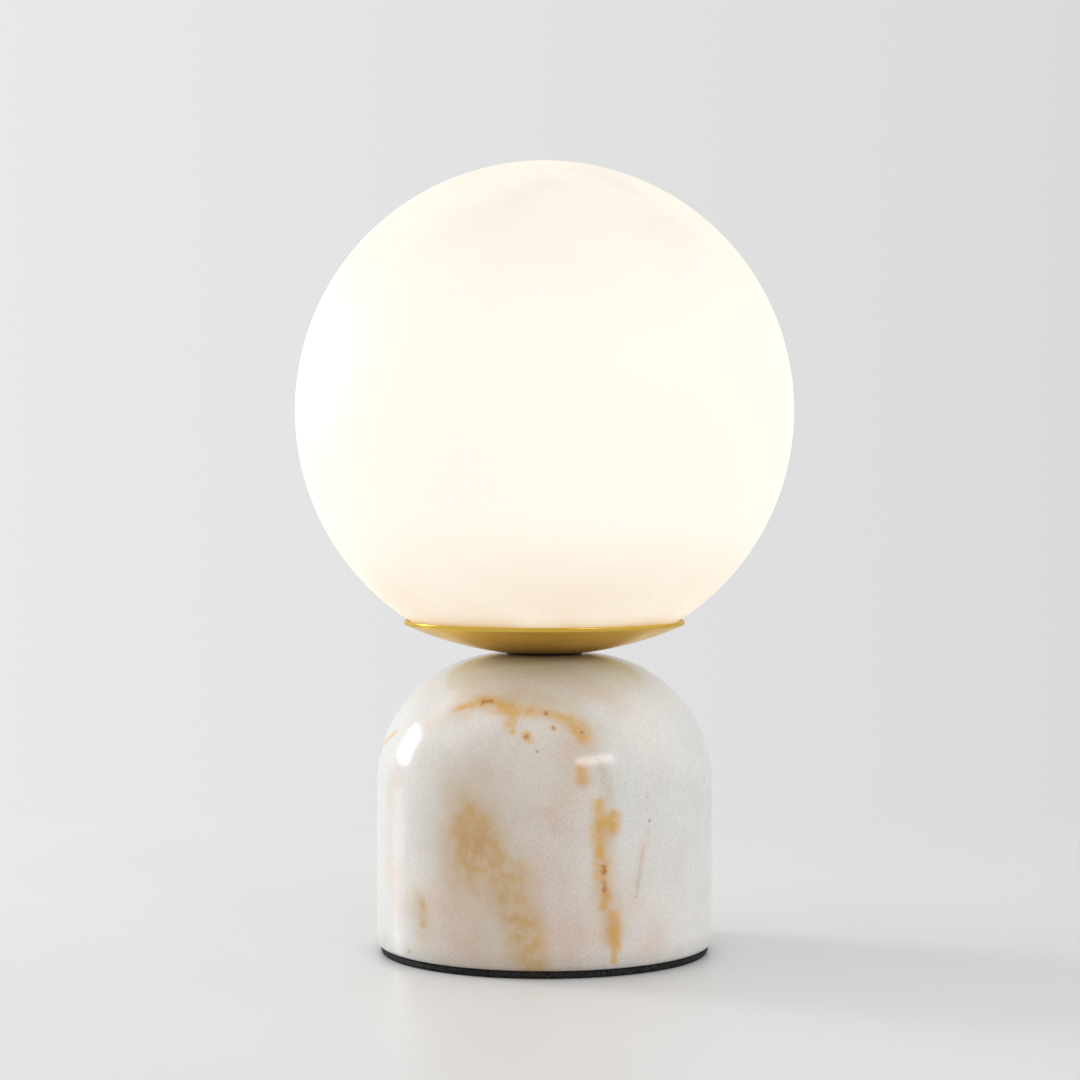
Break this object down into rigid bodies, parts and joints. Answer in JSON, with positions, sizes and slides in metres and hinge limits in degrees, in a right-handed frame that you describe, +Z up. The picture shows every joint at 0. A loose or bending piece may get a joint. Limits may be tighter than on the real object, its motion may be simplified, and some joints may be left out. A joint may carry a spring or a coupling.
{
  "type": "glass globe table lamp",
  "caption": "Table lamp with a lit opal glass globe that lifts off a shallow brass dish on a domed marble base, and a bulb that unscrews from its lampholder.",
  "frame": {"origin": "on the floor, under the middle of the base", "axes": "+Z up along the lamp's axis; the front faces -Y, the cord's inlet faces +Y"},
  "size_m": [0.2, 0.2, 0.3173],
  "materials": {
    "pad_foam": "matt closed-cell foam",
    "marble": "polished",
    "zinc_steel": "zinc plated",
    "nylon": "translucent white",
    "black_plastic": "matt",
    "brass": "satin",
    "black_rubber": "matt",
    "clear_silicone": "translucent",
    "spring_steel": "bright rolled",
    "opal_glass": "opal, satin",
    "white_plastic": "moulded",
    "ceramic": "glazed",
    "nickel": "nickel plated",
    "bronze": "rolled strip",
    "black_glass": "gloss",
    "bulb_plastic": "moulded",
    "bulb_opal": "opal",
    "led_board": "white solder mask",
    "led_phosphor": "phosphor",
    "circuit_board": "solder mask",
    "lead_brown": "wire insulation",
    "lead_blue": "wire insulation",
    "lead_green": "wire insulation",
    "copper": "bare strand"
  },
  "bodies": {
    "base": {"foam_pad": "pad_foam", "marble_base": "marble", "cover_plate": "zinc_steel", "cover_plugs": "nylon", "cover_screws": "zinc_steel", "cord_inlet": "black_plastic", "threaded_rod": "zinc_steel", "rod_bushes": "nylon", "rod_nuts": "zinc_steel", "toothed_washers": "zinc_steel", "lower_washer": "zinc_steel", "earth_tag": "brass", "dish_washer": "black_rubber", "brass_dish": "brass", "seat_ring": "clear_silicone", "globe_spring": "spring_steel", "holder_cap": "white_plastic", "holder_grub_screw": "zinc_steel", "holder_shell": "white_plastic", "holder_core": "ceramic", "holder_terminals": "brass", "screw_liner": "nickel", "centre_contact": "bronze", "contact_rivet": "brass", "block_housing": "nylon", "block_sleeves": "brass", "clamp_screws": "zinc_steel", "fixing_screws": "zinc_steel", "lead_live": "lead_brown", "lead_neutral": "lead_blue", "lead_earth": "lead_green", "copper_ends": "copper"},
    "globe": {"glass_globe": "opal_glass"},
    "bulb_lift": {"bulb_tip": "nickel"},
    "bulb": {"bulb_insulator": "black_glass", "bulb_cap": "nickel", "bulb_housing": "bulb_plastic", "bulb_diffuser": "bulb_opal", "led_board": "led_board", "led_chips": "led_phosphor", "driver_board": "circuit_board", "driver_capacitor": "black_plastic"}
  },
  "joints": [
    {"name": "globe_lift", "type": "slide", "parent": "base", "child": "globe", "axis": [0, 0, 1], "range_m": [0, 0.13]},
    {"name": "bulb_rise", "type": "slide", "parent": "base", "child": "bulb_lift", "axis": [0, 0, 1], "range_m": [0, 0.01815]},
    {"name": "bulb_turn", "type": "hinge", "parent": "bulb_lift", "child": "bulb", "pos_m": [0, 0, 0.2], "axis": [0, 0, 1], "range_deg": [0, 1800]}
  ],
  "couplings": [
    {"joint": "bulb_rise", "follows": "bulb_turn", "m_per_rad": 0.00057757}
  ]
}
